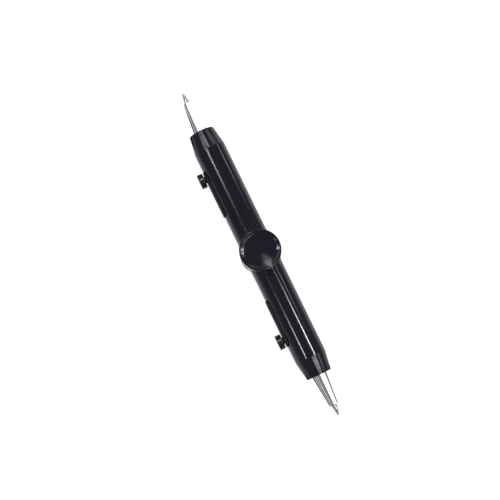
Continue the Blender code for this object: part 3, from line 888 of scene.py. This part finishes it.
def build_floor():
    bm = bmesh.new()
    bmesh.ops.create_grid(bm, x_segments=1, y_segments=1, size=2.0)
    floor = bpy.data.objects.new("floor", finish_mesh(bm, "floor"))
    bpy.context.scene.collection.objects.link(floor)
    floor.location.z = -0.01 * MM
    look = Finish("pale_floor")
    look.colour(look.blend(look.noise(60.0), (0.86, 0.86, 0.86), (0.9, 0.9, 0.9)))
    look.set(Roughness=0.7, Emission_Color=(1, 1, 1, 1), Emission_Strength=0.7)
    floor.data.materials.append(look.material)
    floor.visible_glossy = False


def build_shadow_cards():
    """Painted shadow: small dark cards low beside the noses, standing in for the pen's shadow on the floor,
    seen only in their mirror finish.
    """
    look = Finish("painted_shadow_card")
    # The cards' dark colour is painted shadow, mirrored by the chrome where the floor would be shaded.
    look.colour(look.blend(look.noise(8.0), (0.07, 0.065, 0.06), (0.1, 0.095, 0.09)))
    look.set(Roughness=0.9)
    for name, x, y in (("shadow_card_right", 60, -15), ("shadow_card_left", -60, -15), ("shadow_card_far", 60, 15)):
        bm = bmesh.new()
        bmesh.ops.create_grid(bm, x_segments=4, y_segments=4, size=1)
        card = bpy.data.objects.new(name, finish_mesh(bm, name))
        bpy.context.scene.collection.objects.link(card)
        card.location = (x * MM, y * MM, 0.3 * MM)
        card.scale = (7.5 * MM, 13 * MM, 1)
        card.data.materials.append(look.material)
        card.visible_camera = card.visible_shadow = card.visible_diffuse = False


SKY = (
    (-1.0, (1.0, 1.0, 1.0)),
    (-0.5, (1.04, 1.04, 1.05)),
    (-0.28, (0.86, 0.86, 0.88)),
    (-0.1, (0.48, 0.48, 0.5)),
    (0.02, (0.27, 0.27, 0.29)),
    (1.0, (0.27, 0.27, 0.29)),
)


def build_world():
    """The studio round the pen: dim above, and a white table that brightens towards the pen below."""
    world = bpy.data.worlds.new("studio")
    bpy.context.scene.world = world
    world.use_nodes = True
    tree = world.node_tree
    coords = tree.nodes.new("ShaderNodeTexCoord")
    split = tree.nodes.new("ShaderNodeSeparateXYZ")
    height = tree.nodes.new("ShaderNodeMapRange")
    ramp = tree.nodes.new("ShaderNodeValToRGB")
    height.inputs["From Min"].default_value = -1.0
    tree.links.new(coords.outputs["Generated"], split.inputs["Vector"])
    tree.links.new(split.outputs["Z"], height.inputs["Value"])
    tree.links.new(height.outputs["Result"], ramp.inputs["Fac"])
    tree.links.new(ramp.outputs["Color"], tree.nodes["Background"].inputs["Color"])
    stops = ramp.color_ramp.elements
    for rise, _ in SKY[1:-1]:
        stops.new((rise + 1) / 2)
    for stop, (_, colour) in zip(stops, SKY):
        stop.color = (*colour, 1)


LIGHT_DISTANCE = 0.8
CAP_LIGHT_DISTANCE = 2.5


def on_round(x, across, radius, lean=0.0):
    """A point seen at that place in plan on a piece turned about the barrels' axis, and its normal.

    lean is how far a cone's surface tips towards its end.
    """
    angle = math.asin(across / radius)
    out = Vector((0, math.sin(angle), math.cos(angle)))
    normal = out * math.cos(lean) + Vector((math.copysign(math.sin(lean), x), 0, 0))
    return Vector((x, 0, AXIS_Z)) + out * radius, normal


def on_dish(radius, bearing):
    """A point on the upper cap's dish at that radius and bearing on the table, and its normal."""
    step = 0.01 * MM
    slope = (dish_height(radius + step) - dish_height(radius - step)) / (2 * step)
    out = Vector((math.cos(bearing), math.sin(bearing), 0))
    height = AXIS_Z + CAP_FACE - DISH_DEPTH + dish_height(radius)
    return out * radius + Vector((0, 0, height)), Vector((-out.x * slope, -out.y * slope, 1)).normalized()


def light_spot(spot, distance):
    """Where the camera's sight line is thrown on to from a (point, normal) spot."""
    point, normal = spot
    ray = (point - camera_frame()[0]).normalized()
    return point + (ray - 2 * ray.dot(normal) * normal) * distance


def panel(name, start, end, width, radiance, distance=LIGHT_DISTANCE):
    """A lamp whose reflection runs between two spots; width is the lamp's own, in metres."""
    near, far = light_spot(start, distance), light_spot(end, distance)
    middle = (near + far) / 2
    back = (middle - (start[0] + end[0]) / 2).normalized()
    side = far - near
    side = (side - back * side.dot(back)).normalized()
    length = (far - near).length
    data = bpy.data.lights.new(name, "AREA")
    data.shape = "RECTANGLE"
    data.size, data.size_y = length, width
    data.energy = radiance * math.pi * length * width
    lamp = bpy.data.objects.new(name, data)
    bpy.context.scene.collection.objects.link(lamp)
    lamp.matrix_world = facing(middle, side, back.cross(side), back)
    lamp.visible_camera = False


def strip(name, across, start, end, width, levels):
    """A row of panels seen as one line along the barrel, from start to end in x.

    levels are the radiances at even steps along the line.
    """
    parts = 3 * (len(levels) - 1)
    for part in range(parts):
        ends = [start + (end - start) * (part + k) / parts for k in (0, 1)]
        place = (part + 0.5) / 3
        below = min(int(place), len(levels) - 2)
        radiance = levels[below] + (levels[below + 1] - levels[below]) * (place - below)
        spots = [on_round(x, across, BARREL_R) for x in ends]
        panel(f"{name}_{part}", *spots, width, radiance)


def taper_glow(name, x, across, width, radiance):
    """A broad panel mirrored in a barrel's tapered end only."""
    radius = (BARREL_R + BARREL_TIP_R) / 2
    lean = math.atan((BARREL_R - BARREL_TIP_R) / TAPER_LENGTH)
    ends = [on_round(x + shift, across, radius, lean) for shift in (-3.6 * MM, 3.6 * MM)]
    panel(name, *ends, width, radiance)


def nose_glow(name, x, across, radiance, parts=4):
    """Panels that a nose cone mirrors across its top, at x; across is in shares of its radius."""
    radius = NOSE_R - (NOSE_R - NOSE_TIP_R) * (abs(x) - BARREL_END) / (NOSE_END - BARREL_END)
    lean = math.atan((NOSE_R - NOSE_TIP_R) / (NOSE_END - BARREL_END))
    for part in range(parts):
        edges = [across[0] + (across[1] - across[0]) * (part + k) / parts for k in (0, 1)]
        spots = [on_round(x, edge * radius, radius, lean) for edge in edges]
        panel(f"{name}_{part}", *spots, 0.05, radiance)


def build_lights():
    strip("right_key", 1.52 * MM, 8.5 * MM, 44.6 * MM, 0.09, (1, 4.2, 16, 32, 50))
    strip("right_inner", -2.08 * MM, 16 * MM, 44.2 * MM, 0.085, (0.1, 2.2, 14, 30))
    strip("right_outer", 2.86 * MM, 8.5 * MM, 34 * MM, 0.07, (9, 3, 0.2))
    strip("left_key", -1.57 * MM, -16 * MM, -44.6 * MM, 0.085, (0.2, 2.3, 8.6, 23))
    strip("left_outer", 3.19 * MM, -16 * MM, -44.6 * MM, 0.08, (0.2, 1.2, 4.8, 8.5))
    taper_glow("right_taper", 48.6 * MM, 0.62 * MM, 0.44, 10)
    taper_glow("right_taper_side", 48.6 * MM, 2.46 * MM, 0.22, 2.4)
    taper_glow("left_taper", -48.6 * MM, -1.0 * MM, 0.72, 4.8)
    taper_glow("left_taper_side", -48.6 * MM, 2.15 * MM, 0.5, 2.1)
    nose_glow("right_nose", 58.9 * MM, (0.02, 0.67), 2.0)
    nose_glow("left_nose", -58.9 * MM, (-0.39, 0.8), 2.0)
    nose_glow("right_nose_line", 58.9 * MM, (-0.56, -0.42), 0.5, 1)
    build_cap_lights()


def build_cap_lights():
    """Bright panels mirrored at each side of the upper cap's dish, and a dimmer one near its foot."""
    nine, three, five = (PICTURE_TURN + math.radians(turn) for turn in (179, 7, -56))
    far = CAP_LIGHT_DISTANCE
    panel("cap_nine", on_dish(6.3 * MM, nine), on_dish(7.1 * MM, nine), 0.16, 14, far)
    panel("cap_three", on_dish(6.4 * MM, three), on_dish(7.1 * MM, three), 0.12, 13, far)
    panel("cap_five", on_dish(4.3 * MM, five), on_dish(7.1 * MM, five), 0.22, 4.6, far)


bpy.context.scene.view_settings.view_transform = "Standard"
build_spindle()
build_bearing()
build_hub()
build_sides()
build_camera()
build_floor()
build_shadow_cards()
build_world()
build_lights()
